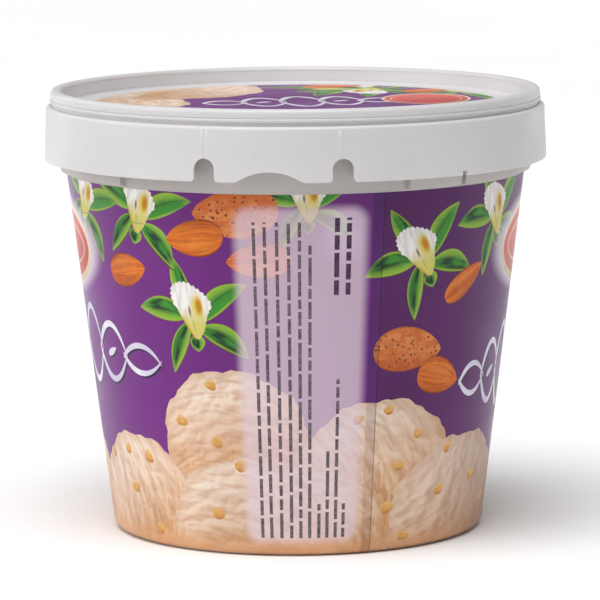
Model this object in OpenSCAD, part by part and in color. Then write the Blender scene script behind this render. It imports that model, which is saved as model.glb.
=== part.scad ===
// Round one-litre ice cream tub with a push-on lid, both white plastic.
// A printed film wraps the tapered wall and a printed disc lies in the lid's recess.
// Angles round the tub are measured from the front (-Y), positive towards +X.

/* [Tub] */
// Height of the tub's rim above the table
tub_h = 115.8; // [90:0.1:150]
// Radius of the tapered wall where it would meet the table
base_r = 49; // [40:0.5:62]
// Lean of the wall away from vertical, in degrees
wall_draft = 7; // [4:0.1:9]
// Radius of the rounded bottom corner
corner_r = 3; // [1.5:0.1:5]
// Width of the flat ring that the tub stands on
foot_w = 4; // [2:0.1:8]
// Depth of the hollow inside the standing ring
foot_recess = 1.2; // [0.5:0.1:3]
// Thickness of the rim that the lid clips over
rim_t = 1; // [0.7:0.05:1.6]
// How far the rim stands proud of the wall
rim_proud = 0.65; // [0.3:0.05:1]
// Height of the thickened rim
rim_h = 3.5; // [2.5:0.1:5]
// Air gap between the contents and the lid's panel
headspace = 0.4; // [0.1:0.1:3]

/* [Collar] */
// How far the guard collar under the skirt stands proud of the wall
collar_proud = 1.6; // [0.8:0.1:3]
// Bare step between the wall label and the collar
collar_lift = 0.4; // [0.3:0.1:1.2]
// Height of the collar
collar_h = 8; // [4:0.1:11]
// Angle of the middle of the collar's opening at the tear tab
collar_open_deg = -9.2; // [-15:0.1:5]
// Half of the angle that the collar leaves free there
collar_clear_deg = 36.8; // [25:0.1:48]
// Angle of the narrow slot through the collar
slot_deg = 43.4; // [40:0.1:60]
// Width of the slot
slot_w = 1.5; // [0.8:0.1:3]
// Angle of the nick in the skirt's lower edge, beside the slot
nick_deg = 40.4; // [38:0.1:60]
// Height of the nick
nick_h = 1.2; // [0.3:0.1:2]

/* [Lid] */
// Thickness of the lid over the tub's rim
roof_t = 1.2; // [0.8:0.1:2]
// Height of the upper ring above the skirt's shoulder
ring_h = 4.3; // [3.5:0.1:6]
// Wall of the upper ring outside the tub's rim
ring_t = 0.8; // [0.7:0.05:1.5]
// Wall of the lid inside the tub's rim
plug_t = 1; // [0.7:0.05:1.5]
// Depth of the recess in the lid's top
recess_depth = 4.3; // [3:0.1:6]
// How far the recess narrows from its rim to its foot
recess_taper = 0.9; // [0.4:0.1:2]
// Radius at the foot of the recess
recess_fillet = 0.8; // [0.3:0.1:1.5]
// Thickness of the lid's panel
panel_t = 1; // [0.8:0.1:2]
// Height of the skirt from its lower edge to the shoulder
skirt_h = 14.1; // [12:0.1:18]
// Thickness of the skirt
skirt_t = 1.1; // [0.8:0.05:1.6]
// Gap between the tub's wall and the skirt's lower edge
skirt_gap = 4.3; // [3.8:0.05:6]
// Lean of the skirt towards the shoulder, in degrees
skirt_draft = 2.2; // [0.5:0.1:4]
// Rounding of the shoulder
shoulder_r = 0.9; // [0.4:0.05:1]
// Rounding of the skirt's lower edge
edge_r = 0.35; // [0.1:0.05:0.4]
// Rounding of the lid's top ring
crest_r = 1.1; // [0.5:0.05:1.3]
// Height of the groove above the shoulder
groove_h = 0.9; // [0.5:0.05:1.2]
// Depth of the groove
groove_depth = 0.35; // [0.1:0.05:0.4]
// Height of the bead above the groove
bead_h = 1.1; // [0.6:0.05:1.3]
// How far the bead stands proud of the upper ring
bead_proud = 0.2; // [0.1:0.05:0.5]
// Side clearance between the lid and the tub's rim
lid_fit = 0.1; // [0.05:0.05:0.3]

/* [Tear tab] */
// Angle of the middle of the tear tab
tab_deg = -5; // [-20:0.1:20]
// Angle from the middle of the tab to the notch on its left
left_notch_deg = -15.4; // [-20:0.1:-14]
// Angle from the middle of the tab to the notch on its right
right_notch_deg = 15.4; // [14:0.1:20]
// Width of a notch
notch_w = 5.5; // [4:0.1:6.5]
// Height of a notch
notch_h = 6; // [4.5:0.1:8]
// Rounding where a notch meets the skirt's lower edge
notch_flare = 1.3; // [0.5:0.1:2]
// Angle from the middle of the tab to the middle of the finger arch
arch_deg = -0.8; // [-3:0.1:3]
// Width of the finger arch
arch_w = 17.2; // [12:0.1:18]
// Height of the finger arch
arch_h = 2.8; // [2:0.1:4]
// Rounding where the arch meets the skirt's lower edge
arch_flare = 4; // [1:0.1:5]
// Width of the score line above each notch
score_w = 0.6; // [0.3:0.05:1]
// Depth of the score line
score_depth = 0.1; // [0.05:0.05:0.4]

/* [Labels] */
// Thickness of the printed film
film_t = 0.15; // [0.1:0.01:0.3]
// Bond layer between the film and the plastic behind it
bond_gap = 0.03; // [0.02:0.01:0.08]
// Bare band between the wall label and the skirt's lower edge
band_h = 3.5; // [2:0.1:6]
// How far the wall label wraps down round the bottom corner, in degrees below level
label_wrap_deg = 62; // [30:1:75]
// Bare margin between the lid label and the foot of the recess
lid_label_margin = 6.4; // [2:0.1:12]

/* [Hidden] */
$fn = 160;
arc_steps = 6;
foot_steps = 2;
mouth_steps = 3;
crown_steps = 8;
slack = 1; // overshoot of every cutting solid
dip = 0.05; // how far a mouth's rounding dips below the skirt's edge, so that it crosses it

function wall_r(z) = base_r + z * tan(wall_draft);
function arc(cx, cy, r, from, to, steps = arc_steps) =
    [for (i = [0:steps]) let (a = from + (to - from) * i / steps) [cx + r * cos(a), cy + r * sin(a)]];
function reversed(points) = [for (i = [len(points) - 1:-1:0]) points[i]];

// Tub
corner_x = base_r - corner_r * (1 - sin(wall_draft)) / cos(wall_draft);
foot_in_r = corner_x - foot_w;
rim_out_r = wall_r(tub_h) + rim_proud;
rim_in_r = rim_out_r - rim_t;
rim_z = tub_h - rim_h;

// Lid, from the tub's rim outwards
lid_top = tub_h + roof_t;
channel_out_r = rim_out_r + lid_fit;
channel_in_r = rim_in_r - lid_fit;
ring_r = channel_out_r + ring_t;
groove_r = ring_r - groove_depth;
bead_r = ring_r + bead_proud;
recess_r = channel_in_r - plug_t;
recess_foot_r = recess_r - recess_taper;
panel_z = lid_top - recess_depth;
fill_z = panel_z - panel_t - headspace;
shoulder_z = lid_top - ring_h;
skirt_z = shoulder_z - skirt_h;
skirt_in_r = wall_r(skirt_z) + skirt_gap;
skirt_r = skirt_in_r + skirt_t;
skirt_lean = skirt_h * tan(skirt_draft);
step_z = shoulder_z - panel_t;

// Labels
seat_t = film_t + bond_gap;
seat_wrap_deg = label_wrap_deg + bond_gap / corner_r * 180 / PI;
label_z1 = skirt_z - band_h;
lid_label_r = recess_foot_r - lid_label_margin;

// Collar
collar_z0 = label_z1 + collar_lift;
collar_z1 = collar_z0 + collar_h;
seam_deg = collar_open_deg - 90; // the seam of the tub's and the label's round faces lies in the collar's opening

// The wall's outline at a depth behind its face: round the corner from wrap_deg below level, then up to z1
function wall_line(depth, wrap_deg, z1) = concat(
    arc(corner_x, corner_r, corner_r - depth, -wrap_deg, -wall_draft),
    [[wall_r(z1) - depth / cos(wall_draft), z1]]
);

// Turns a flat drawing, x sideways and y up from the skirt's edge, into a cutter through the skirt at one angle
module through_skirt(angle)
    rotate([0, 0, angle]) translate([0, 0, skirt_z]) rotate([90, 0, 0])
        linear_extrude(skirt_r + slack) children();

module tub_solid()
    rotate([0, 0, seam_deg]) rotate_extrude() polygon(concat(
        [[0, foot_recess], [foot_in_r - foot_recess, foot_recess], [foot_in_r, 0]],
        arc(corner_x, corner_r, corner_r, -90, -seat_wrap_deg, foot_steps),
        wall_line(seat_t, seat_wrap_deg, label_z1 + bond_gap),
        [
            [wall_r(label_z1 + bond_gap), label_z1 + bond_gap],
            [wall_r(rim_z - rim_proud), rim_z - rim_proud],
            [rim_out_r, rim_z]
        ],
        arc(rim_out_r - rim_t / 4, tub_h - rim_t / 4, rim_t / 4, 0, 90),
        [[rim_in_r, tub_h], [rim_in_r, fill_z], [0, fill_z]]
    ));

module collar()
    difference() {
        rotate([0, 0, collar_open_deg + collar_clear_deg - 90])
            rotate_extrude(angle = 360 - 2 * collar_clear_deg)
                polygon([
                    [wall_r(collar_z0) - slack, collar_z0],
                    [wall_r(collar_z0), collar_z0],
                    [wall_r(collar_z0) + collar_proud, collar_z0 + collar_proud / 4],
                    [wall_r(collar_z1) + collar_proud, collar_z1 - collar_proud],
                    [wall_r(collar_z1), collar_z1],
                    [wall_r(collar_z1) - slack, collar_z1]
                ]);
        rotate([0, 0, slot_deg])
            translate([-slot_w / 2, -wall_r(collar_z1) - collar_proud - slack, collar_z0 - slack])
                cube([slot_w, collar_proud + 4 * slack, collar_h + 2 * slack]);
    }

module tub()
    color("whitesmoke") {
        tub_solid();
        collar();
    }

module wall_label()
    color("rebeccapurple") rotate([0, 0, seam_deg]) rotate_extrude() polygon(concat(
        wall_line(0, label_wrap_deg, label_z1),
        reversed(wall_line(film_t, label_wrap_deg, label_z1))
    ));

module lid_shell()
    rotate_extrude() polygon(concat(
        [[skirt_in_r, skirt_z]],
        arc(skirt_r - edge_r, skirt_z + edge_r, edge_r, -90, 0),
        arc(skirt_r - skirt_lean - shoulder_r, shoulder_z - shoulder_r, shoulder_r, 0, 90),
        [[groove_r, shoulder_z], [groove_r, shoulder_z + groove_h]],
        arc(bead_r - bead_h / 2, shoulder_z + groove_h + bead_h / 2, bead_h / 2, -90, 90),
        [[ring_r, shoulder_z + groove_h + bead_h]],
        arc(ring_r - crest_r, lid_top - crest_r, crest_r, 0, 90),
        arc(recess_r + crest_r, lid_top - crest_r, crest_r, 90, 180),
        arc(recess_foot_r - recess_fillet, panel_z + recess_fillet, recess_fillet, 0, -90),
        [
            [lid_label_r + bond_gap, panel_z],
            [lid_label_r + bond_gap, panel_z - seat_t],
            [0, panel_z - seat_t],
            [0, panel_z - panel_t],
            [recess_foot_r + plug_t, panel_z - panel_t],
            [channel_in_r, tub_h],
            [channel_out_r, tub_h],
            [channel_out_r, step_z],
            [skirt_in_r - skirt_lean, step_z - skirt_in_r + skirt_lean + channel_out_r]
        ]
    ));

// Rounds the corner between the skirt's edge (y = 0) and an upright side at x = side
module flare(side, r)
    difference() {
        translate([side - slack, -slack]) square([r + slack, r + slack]);
        translate([side + r, r - dip]) circle(r);
    }

// A slot with a round top and a flared mouth
module notch_outline(width, height, mouth_r) {
    translate([0, height - width / 2]) circle(width / 2);
    translate([-width / 2, -slack]) square([width, height - width / 2 + slack]);
    flare(width / 2, mouth_r);
    mirror([1, 0]) flare(width / 2, mouth_r);
}

// A low arch of one large circle, with its two ends rounded by mouth_r
module arch_outline(width, height, mouth_r) {
    big_r = (width * width / 4 + height * height) / (2 * height);
    mouth_rise = mouth_r - dip - height + big_r;
    mouth_x = sqrt(pow(big_r + mouth_r, 2) - pow(mouth_rise, 2));
    meet_deg = atan2(mouth_rise, mouth_x);
    crown_turn = (180 - 2 * meet_deg) / (crown_steps + 2);
    polygon(concat(
        [[-mouth_x, -slack]],
        arc(-mouth_x, mouth_r - dip, mouth_r, -90, -meet_deg, mouth_steps),
        arc(0, height - big_r, big_r, 180 - meet_deg - crown_turn, meet_deg + crown_turn, crown_steps),
        arc(mouth_x, mouth_r - dip, mouth_r, 180 + meet_deg, 270, mouth_steps),
        [[mouth_x, -slack]]
    ));
}

// A shallow upright line in the skirt's face, from the top of a notch to the shoulder
module score(angle)
    rotate([0, 0, angle]) translate([-score_w / 2, -skirt_r, skirt_z]) rotate([-skirt_draft, 0, 0])
        translate([0, -slack, notch_h - notch_w / 4])
            cube([score_w, slack + score_depth, skirt_h - notch_h - shoulder_r + notch_w / 4]);

module lid()
    color("white")
        difference() {
            lid_shell();
            for (offset_deg = [left_notch_deg, right_notch_deg]) {
                through_skirt(tab_deg + offset_deg) notch_outline(notch_w, notch_h, notch_flare);
                score(tab_deg + offset_deg);
            }
            through_skirt(tab_deg + arch_deg) arch_outline(arch_w, arch_h, arch_flare);
            through_skirt(nick_deg) translate([-slot_w / 2, -slack]) square([slot_w, nick_h + slack]);
        }

module lid_label()
    color("mediumpurple")
        translate([0, 0, panel_z - film_t]) cylinder(h = film_t, r = lid_label_r);

tub();
wall_label();
lid();
lid_label();
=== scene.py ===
import math
import random

import bpy
from mathutils import Matrix, Vector
from mathutils.geometry import delaunay_2d_cdt


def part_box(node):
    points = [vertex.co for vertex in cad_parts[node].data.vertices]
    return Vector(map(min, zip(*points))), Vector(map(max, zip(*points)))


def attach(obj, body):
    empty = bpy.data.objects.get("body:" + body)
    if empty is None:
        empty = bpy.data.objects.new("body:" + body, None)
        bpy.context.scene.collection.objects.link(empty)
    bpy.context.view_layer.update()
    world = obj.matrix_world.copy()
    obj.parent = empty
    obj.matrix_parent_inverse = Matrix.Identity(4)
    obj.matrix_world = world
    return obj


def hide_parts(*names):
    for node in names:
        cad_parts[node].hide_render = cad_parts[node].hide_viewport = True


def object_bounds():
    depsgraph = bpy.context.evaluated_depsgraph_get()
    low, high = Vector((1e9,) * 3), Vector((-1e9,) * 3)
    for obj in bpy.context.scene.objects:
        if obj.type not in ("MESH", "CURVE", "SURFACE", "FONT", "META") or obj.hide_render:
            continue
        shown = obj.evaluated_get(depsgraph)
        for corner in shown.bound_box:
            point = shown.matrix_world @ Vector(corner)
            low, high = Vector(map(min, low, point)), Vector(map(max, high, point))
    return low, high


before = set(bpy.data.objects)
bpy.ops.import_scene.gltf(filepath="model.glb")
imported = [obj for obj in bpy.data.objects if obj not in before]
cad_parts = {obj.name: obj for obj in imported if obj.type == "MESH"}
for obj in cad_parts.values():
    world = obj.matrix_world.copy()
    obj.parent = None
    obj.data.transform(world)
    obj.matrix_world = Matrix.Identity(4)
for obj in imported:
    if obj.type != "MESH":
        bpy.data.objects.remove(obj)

cad_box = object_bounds()

# -------- sizes, in millimetres and degrees

MM = 0.001
DRAFT = math.radians(7)       # lean of the tub's wall
CORNER = 3.0                  # rounding of the tub's bottom corner
FILM = 0.15                   # thickness of the printed films
INK_GAP = 0.1                 # from the ink down to its backing film
LAP_AZ = (18.6, 21.9)         # where the wall film overlaps itself
LAP_RISE = 0.06               # how far the overlap stands proud
LAP_RAMP = 0.9                # degrees over which the film climbs on to it
LAP_EDGE = 0.12               # degrees over which it drops at the seam
GRID_AZ = 2.0                 # spacing of the film's mesh round the wall
GRID_Z = 4.0                  # and up it
MESH_GAP = 1e-4               # points of the film's mesh nearer than this are joined

wall_low, wall_high = (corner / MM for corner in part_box("wall_label"))
disc_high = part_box("lid_label")[1] / MM

WALL_Z0, WALL_Z1 = wall_low.z, wall_high.z
WALL_TOP_R = wall_high.x
DISC_R = disc_high.x
DISC_Z = disc_high.z

CORNER_Z = CORNER * (1 - math.sin(DRAFT))       # top of the rounded corner
CORNER_X = WALL_TOP_R - (WALL_Z1 - CORNER_Z) * math.tan(DRAFT) - CORNER * math.cos(DRAFT)


def wall_radius(z):
    """Radius of the tub's wall, with its rounded bottom corner, at a height."""
    if z < CORNER_Z:
        return CORNER_X + math.sqrt(CORNER ** 2 - (CORNER - z) ** 2)
    return WALL_TOP_R - (WALL_Z1 - z) * math.tan(DRAFT)


def wall_lean(z):
    """How far below level the wall's face looks, as an angle."""
    if z < CORNER_Z:
        return math.asin((CORNER - z) / CORNER)
    return DRAFT


MID_R = wall_radius((WALL_Z0 + WALL_Z1) / 2)
TURN = 2 * math.pi * MID_R    # length of the film laid flat at its middle height


def arc(azimuth):
    """Distance along the flat film of an azimuth in degrees."""
    return math.radians(azimuth) * MID_R


def stretch_at(z):
    """How much wider a shape is on the flat film than on the wall at a height."""
    return MID_R / wall_radius(z)


# -------- shader graphs

def rgb(red, green, blue):
    """A linear colour from 0 to 255 screen values."""
    def linear(value):
        value /= 255
        return value / 12.92 if value <= 0.04045 else ((value + 0.055) / 1.055) ** 2.4
    return linear(red), linear(green), linear(blue), 1.0


def preset(node, values):
    """Sets a node's named inputs."""
    for name, value in values.items():
        node.inputs[name].default_value = value


class Graph:
    """Adds nodes to a shader tree and links them as they are made."""

    def __init__(self, tree):
        self.tree = tree

    def node(self, kind, **settings):
        node = self.tree.nodes.new(kind)
        for name, value in settings.items():
            setattr(node, name, value)
        return node

    def put(self, socket, value):
        if isinstance(value, bpy.types.NodeSocket):
            self.tree.links.new(value, socket)
        else:
            socket.default_value = value

    def math(self, operation, a, b=0.0):
        node = self.node("ShaderNodeMath", operation=operation)
        self.put(node.inputs[0], a)
        self.put(node.inputs[1], b)
        return node.outputs[0]

    def times(self, a, b):
        return self.math("MULTIPLY", a, b)

    def plus(self, a, b):
        return self.math("ADD", a, b)

    def minus(self, a, b):
        return self.math("SUBTRACT", a, b)

    def size(self, a):
        return self.math("ABSOLUTE", a)

    def reach(self, x, y):
        """Distance of a place from the origin of its map."""
        return self.math("SQRT", self.plus(self.times(x, x), self.times(y, y)))

    def step(self, value, start, end, low=0.0, high=1.0):
        """A smooth step from low at start to high at end."""
        node = self.node("ShaderNodeMapRange", interpolation_type="SMOOTHSTEP")
        for slot, item in enumerate((value, start, end, low, high)):
            self.put(node.inputs[slot], item)
        return node.outputs[0]

    def mix(self, factor, a, b, kind="MIX"):
        node = self.node("ShaderNodeMix", data_type="RGBA", blend_type=kind)
        self.put(node.inputs[0], factor)
        self.put(node.inputs[6], a)
        self.put(node.inputs[7], b)
        return node.outputs[2]

    def fade(self, value, start, end, a, b):
        """Colour a where the value is at start, through to colour b at end."""
        return self.mix(self.step(value, start, end), a, b)

    def blend(self, base, mask, share, top):
        """The base colour, with this share of the top colour where the mask is one."""
        return self.mix(self.times(mask, share), base, top)

    def noise(self, vector, scale, detail=2.0, rough=0.5):
        node = self.node("ShaderNodeTexNoise")
        self.put(node.inputs["Vector"], vector)
        preset(node, {"Scale": scale, "Detail": detail, "Roughness": rough})
        return node.outputs["Fac"]

    def cells(self, vector, scale, randomness):
        """Distance from the nearest of many scattered points."""
        node = self.node("ShaderNodeTexVoronoi")
        self.put(node.inputs["Vector"], vector)
        preset(node, {"Scale": scale, "Randomness": randomness})
        return node.outputs["Distance"]

    def grain(self, x, y, pitch, seed=0.0, detail=3.0, rough=0.5):
        """Noise over a flat map, as fine along each way as the two numbers of pitch."""
        place = self.vector(self.times(x, pitch[0]), self.times(y, pitch[1]), seed)
        return self.noise(place, 1.0, detail, rough)

    def uv(self, name):
        """The two numbers of a piece's named map."""
        node = self.node("ShaderNodeUVMap", uv_map=name)
        parts = self.node("ShaderNodeSeparateXYZ")
        self.tree.links.new(node.outputs[0], parts.inputs[0])
        return parts.outputs[0], parts.outputs[1]

    def vector(self, x, y, z=0.0):
        node = self.node("ShaderNodeCombineXYZ")
        for slot, item in enumerate((x, y, z)):
            self.put(node.inputs[slot], item)
        return node.outputs[0]

    def place(self):
        return self.node("ShaderNodeTexCoord").outputs["Object"]

    def bump(self, height, strength, distance):
        node = self.node("ShaderNodeBump")
        preset(node, {"Strength": strength, "Distance": distance})
        self.put(node.inputs["Height"], height)
        return node.outputs[0]

    def oval(self, x, y, centre, size, inner=0.5, turn=0.0):
        """One inside a soft oval, nought outside it."""
        cosine, sine = math.cos(math.radians(turn)), math.sin(math.radians(turn))
        dx = self.minus(x, centre[0])
        dy = self.minus(y, centre[1])
        along = self.plus(self.times(dx, cosine / size[0]), self.times(dy, sine / size[0]))
        across = self.minus(self.times(dy, cosine / size[1]), self.times(dx, sine / size[1]))
        return self.step(self.reach(along, across), 1.0, inner)


def new_material(name):
    """A material with its graph and its surface shader."""
    material = bpy.data.materials.new(name)
    material.use_nodes = True
    graph = Graph(material.node_tree)
    shader = material.node_tree.nodes["Principled BSDF"]
    return material, graph, shader


# -------- the print's shared finish

LABEL_UV = "label"            # azimuth and height, each over a hundred
ART_UV = "art"                # place inside a printed shape
TRAIT_UV = "trait"            # two numbers that a printed shape keeps all over

PANEL_AZ = (-15.3, 17.6)      # pale panel on the wall
PANEL_Z = (4.0, 91.6)
PANEL_ROUND = 4.0             # its corners
PANEL_BLUR = 1.6              # softness of its edge
SEAL_AZ = 92.0                # one oval seal on each face, this far round
SEAL_Z = 77.0
SEAL_SIZE = (26.0, 11.5)
HALO_SIZE = (0.335, 0.148)    # pale glow round a seal, in the label map
CREASE_Z = 86.6               # crease in the film: height, sway and waves to a degree
CREASE_SWAY = 0.45
CREASE_TURN = 0.19
ROUGHNESS = 0.34              # of the printed film


def clouded(g, colour):
    """Soft light and dark clouds."""
    shade = g.step(g.noise(g.place(), 38.0, 3.0), 0.3, 0.7, 0.84, 0.97)
    return g.mix(1.0, colour, g.vector(shade, shade, shade), "MULTIPLY")


def specked(g, colour):
    """Fine dark specks."""
    speck = g.step(g.cells(g.place(), 90.0, 1.0), 0.06, 0.02)
    return g.blend(colour, speck, 0.3, rgb(60, 40, 70))


def painted_crease_shade(g, colour, az, z):
    """Painted shade along one broken, wavy crease round the film under the collar."""
    wave = g.times(g.math("SINE", g.times(az, CREASE_TURN)), CREASE_SWAY)
    crease = g.size(g.minus(g.minus(z, CREASE_Z), wave))
    broken = g.step(g.noise(g.vector(az, 0.0), 0.11, 1.0), 0.44, 0.56)
    # painted shade: the dark line where the film creases
    crease = g.times(g.step(crease, 0.3, 0.05), broken)
    return g.blend(colour, crease, 0.35, rgb(58, 24, 66))


def outside(g, value, span):
    """How far a value lies outside the straight part of a span of the panel."""
    half = (span[1] - span[0]) / 2 - PANEL_ROUND
    off = g.size(g.minus(value, (span[0] + span[1]) / 2))
    return g.math("MAXIMUM", g.minus(off, half), 0.0)


def panelled(g, colour, u, v, az, z):
    """The pale panel with its round corners, over what is printed under it."""
    dx, dz = outside(g, az, PANEL_AZ), outside(g, z, PANEL_Z)
    panel = g.step(g.reach(dx, dz), PANEL_ROUND + PANEL_BLUR, PANEL_ROUND - PANEL_BLUR)
    glow = g.oval(u, v, (0.12, 0.85), (0.09, 0.12), 0.0)
    pale = g.mix(glow, rgb(228, 208, 219), rgb(248, 228, 244))
    return g.blend(colour, panel, 0.63, pale)


def lapped(g, colour, az):
    """The darker strip where the film overlaps itself, and the line of its edge."""
    start, seam = LAP_AZ
    lap = g.times(g.step(az, start, start + LAP_RAMP), g.step(az, seam, seam - 0.5))
    colour = g.mix(g.times(lap, 0.3), colour, rgb(140, 120, 150), "MULTIPLY")
    line = g.step(g.size(g.minus(az, seam)), 0.3, 0.08)
    return g.mix(g.times(line, 0.6), colour, rgb(70, 50, 80), "MULTIPLY")


def finish_group():
    """Clouds, painted shade along a crease, panel, glow round the seals and seam, over whatever is
    printed there.
    """
    tree = bpy.data.node_groups.new("print_finish", "ShaderNodeTree")
    for way in ("INPUT", "OUTPUT"):
        tree.interface.new_socket("Color", in_out=way, socket_type="NodeSocketColor")
    g = Graph(tree)
    colour = g.node("NodeGroupInput").outputs[0]
    u, v = g.uv(LABEL_UV)
    az = g.times(u, 100.0)
    z = g.times(v, 100.0)
    colour = painted_crease_shade(g, clouded(g, colour), az, z)
    colour = panelled(g, specked(g, colour), u, v, az, z)
    halo = g.oval(g.size(u), v, (SEAL_AZ / 100, SEAL_Z / 100), HALO_SIZE, 0.74)
    colour = g.blend(colour, halo, 0.8, rgb(232, 222, 232))
    g.put(g.node("NodeGroupOutput").inputs[0], lapped(g, colour, az))
    return tree


FINISH = finish_group()


def finished(graph, colour):
    """The colour with the print's shared finish over it."""
    node = graph.node("ShaderNodeGroup", node_tree=FINISH)
    graph.put(node.inputs[0], colour)
    return node.outputs[0]


def gloss(graph, shader, colour):
    """Smooth printed film: gloss that varies a little, and faint ripples."""
    preset(shader, {"Coat Weight": 0.06, "Coat Roughness": 0.2, "Specular IOR Level": 0.25})
    graph.put(shader.inputs["Base Color"], colour)
    rub = graph.noise(graph.place(), 60.0, 3.0)
    rub = graph.step(rub, 0.3, 0.7, ROUGHNESS - 0.04, ROUGHNESS + 0.06)
    graph.put(shader.inputs["Roughness"], rub)
    ripple = graph.noise(graph.place(), 55.0, 2.0)
    graph.put(shader.inputs["Normal"], graph.bump(ripple, 0.18, 0.0006))


# -------- printed materials

LEAF_ENDS = (0.72, 0.95)      # how round a leaf's base and tip are
NUT_ENDS = (0.46, 0.70)       # and a nut's


def widest(ends):
    """Largest value of s to the first power times its rest to the second."""
    a, b = ends
    return (a / (a + b)) ** a * (b / (a + b)) ** b


def swell(ends, s):
    """Half width of a leaf or nut at s along it, one at its widest."""
    return s ** ends[0] * (1 - s) ** ends[1] / widest(ends)


def across(g, ends, s, v, bend):
    """How far across a leaf or nut a point is, from minus one to one."""
    safe = g.math("MINIMUM", g.math("MAXIMUM", s, 0.002), 0.998)
    rest = g.minus(1.0, safe)
    width = g.times(g.math("POWER", safe, ends[0]), g.math("POWER", rest, ends[1]))
    width = g.math("MAXIMUM", g.math("DIVIDE", width, widest(ends)), 0.03)
    middle = g.times(g.times(g.times(safe, rest), 4.0), bend)
    return g.math("DIVIDE", g.minus(v, middle), width)


def lens_map(g, ends):
    """Places along and up a leaf or nut, place across it, and its own tone."""
    s, v = g.uv(ART_UV)
    bend, tone = g.uv(TRAIT_UV)
    return s, v, across(g, ends, s, v, bend), tone


def field_colour(g):
    """Purple, darker at the lap, with painted shade under the collar and past the seam, and painted
    light on the left.
    """
    u, v = g.uv(LABEL_UV)
    cloud = g.noise(g.place(), 16.0, 3.0)
    colour = g.fade(cloud, 0.3, 0.7, rgb(110, 34, 126), rgb(124, 46, 138))
    # painted shade: darker towards the top, under the lid's collar
    colour = g.blend(colour, g.step(v, 0.78, 0.95), 0.35, rgb(96, 28, 112))
    start, seam = LAP_AZ[0] / 100, LAP_AZ[1] / 100
    lap = g.times(g.step(u, start, start + 0.01), g.step(u, seam, seam - 0.004))
    colour = g.blend(colour, lap, 0.4, rgb(66, 22, 104))
    # painted shade: darker from the seam round the right side, away from the light, fading out towards
    # the back
    painted_right_shade = g.times(g.math("GREATER_THAN", u, seam), g.step(u, seam, 1.5, 1.0, 0.0))
    colour = g.blend(colour, painted_right_shade, 0.85, rgb(80, 22, 86))
    # painted light: lighter round the left side, where the light falls, fading out towards the back
    lit = g.times(g.step(u, -0.2, -0.6), g.step(u, -1.7, -1.2))
    colour = g.blend(colour, lit, 0.12, rgb(146, 62, 160))
    return finished(g, colour)


def leaf_colour(g):
    """Dark green patches and rib, with lime towards the edges and the tip."""
    s, _, t, tone = lens_map(g, LEAF_ENDS)
    shift = g.times(tone, 9.0)
    patches = g.grain(s, t, (2.2, 0.9), shift, 2.0)
    veins = g.grain(s, t, (2.0, 7.0), shift)
    colour = g.fade(patches, 0.40, 0.58, rgb(12, 50, 32), rgb(56, 138, 44))
    colour = g.blend(colour, g.step(veins, 0.45, 0.7), 0.25, rgb(92, 166, 58))
    half = g.times(g.step(t, -0.1, -0.5), g.step(tone, 0.45, 0.55))
    colour = g.blend(colour, half, 0.6, rgb(64, 152, 52))
    rib = g.step(g.size(g.minus(t, 0.05)), 0.16, 0.02)
    colour = g.blend(colour, rib, 0.35, rgb(14, 60, 34))
    colour = g.blend(colour, g.step(t, 0.05, 0.62), 0.9, rgb(136, 184, 60))
    colour = g.blend(colour, g.step(s, 0.70, 1.0), 0.8, rgb(154, 190, 76))
    edge = g.size(t)
    colour = g.blend(colour, g.step(edge, 0.66, 0.84), 0.75, rgb(162, 188, 60))
    colour = g.blend(colour, g.step(edge, 0.91, 0.98), 0.85, rgb(54, 34, 36))
    return finished(g, colour)


def petal_colour(g):
    """Cream trumpet; its art map is in tens of millimetres from the point."""
    x, y = g.uv(ART_UV)
    folds = g.grain(x, y, (9.0, 1.6))
    colour = g.fade(folds, 0.35, 0.65, rgb(226, 222, 220), rgb(250, 247, 240))
    colour = g.blend(colour, g.step(y, 0.95, 0.4), 0.85, rgb(212, 202, 60))
    colour = g.mix(g.oval(x, y, (0.06, 0.90), (0.24, 0.46), 0.3, 6), colour, rgb(226, 204, 80))
    colour = g.mix(g.oval(x, y, (0.10, 0.92), (0.13, 0.30), 0.3, 6), colour, rgb(196, 132, 24))
    rim = g.plus(x, g.times(y, 0.66))
    gold = g.times(g.step(rim, 0.10, -0.02), g.step(y, 0.72, 0.56))
    colour = g.blend(colour, gold, 0.9, rgb(206, 168, 38))
    colour = g.mix(g.oval(x, y, (-0.16, 0.78), (0.05, 0.20), 0.2, 8), colour, rgb(132, 100, 62))
    slit = g.oval(x, y, (-0.07, 0.42), (0.03, 0.30), 0.1, 12)
    colour = g.blend(colour, slit, 0.6, rgb(160, 138, 96))
    return finished(g, colour)


def kernel_colour(g):
    """Streaked brown skin of an almond."""
    s, v, t, tone = lens_map(g, NUT_ENDS)
    shift = g.times(tone, 5.0)
    streaks = g.grain(s, t, (1.1, 3.6), shift, 3.0, 0.6)
    fine = g.grain(s, t, (5.0, 12.0), shift, 3.0, 0.6)
    colour = g.fade(streaks, 0.40, 0.60, rgb(196, 82, 12), rgb(232, 120, 24))
    colour = g.blend(colour, g.step(fine, 0.4, 0.68), 0.3, rgb(244, 164, 76))
    lit = g.oval(s, v, (0.42, 0.42), (0.42, 0.5), 0.0)
    colour = g.blend(colour, lit, 0.3, rgb(244, 160, 70))
    colour = g.blend(colour, g.step(v, -0.15, -0.95), 0.65, rgb(158, 62, 14))
    colour = g.blend(colour, g.step(g.size(t), 0.84, 1.0), 0.85, rgb(118, 38, 16))
    return finished(g, colour)


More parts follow.
